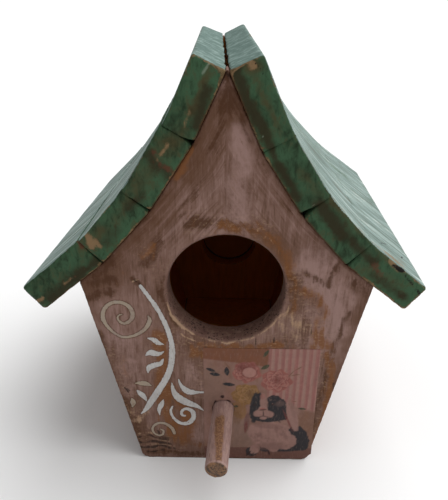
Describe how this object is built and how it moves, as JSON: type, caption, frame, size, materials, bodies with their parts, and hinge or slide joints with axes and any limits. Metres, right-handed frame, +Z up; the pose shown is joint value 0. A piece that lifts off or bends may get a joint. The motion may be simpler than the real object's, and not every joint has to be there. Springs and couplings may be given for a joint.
{
  "type": "birdhouse",
  "caption": "Small wooden nest box with a tapered body, round entrance, perch, flared slatted roof and a swivelling clean-out cover.",
  "frame": {"origin": "centre of the floor board's underside, on the surface the house stands on", "axes": "+Z up; +Y from the entrance to the back board, so the entrance looks along -Y; +X to the right seen from the front"},
  "size_m": [0.1734, 0.1943, 0.1945],
  "materials": {
    "front_paint": "brushed mauve-pink paint worn through to brown wood",
    "side_paint": "mauve-pink paint, lightly worn",
    "bare_wood": "bare pine, sawn",
    "perch_paint": "pink paint worn along the dowel",
    "cover_paint": "mauve-pink paint worn at the rim",
    "roof_paint": "pale aqua paint on top, dark green on the ends",
    "paper": "glued paper print under matt varnish",
    "screw_steel": "zinc plated, dull",
    "brad_steel": "dark steel"
  },
  "bodies": {
    "house": {"front_board": "front_paint", "back_board": "side_paint", "left_wall": "side_paint", "right_wall": "side_paint", "floor_board": "bare_wood", "perch": "perch_paint", "left_slat_1": "roof_paint", "left_slat_2": "roof_paint", "left_slat_3": "roof_paint", "left_slat_4": "roof_paint", "right_slat_1": "roof_paint", "right_slat_2": "roof_paint", "right_slat_3": "roof_paint", "right_slat_4": "roof_paint", "paper_print": "paper", "cover_screw": "screw_steel", "cover_washer": "screw_steel", "roof_brads": "brad_steel", "wall_brads": "brad_steel", "floor_brads": "brad_steel"},
    "cover": {"cleanout_cover": "cover_paint"}
  },
  "joints": [
    {"name": "cover_swing", "type": "hinge", "parent": "house", "child": "cover", "pos_m": [0, 0.0783, 0.087], "axis": [0, 1, 0], "range_deg": [-150, 150]}
  ]
}
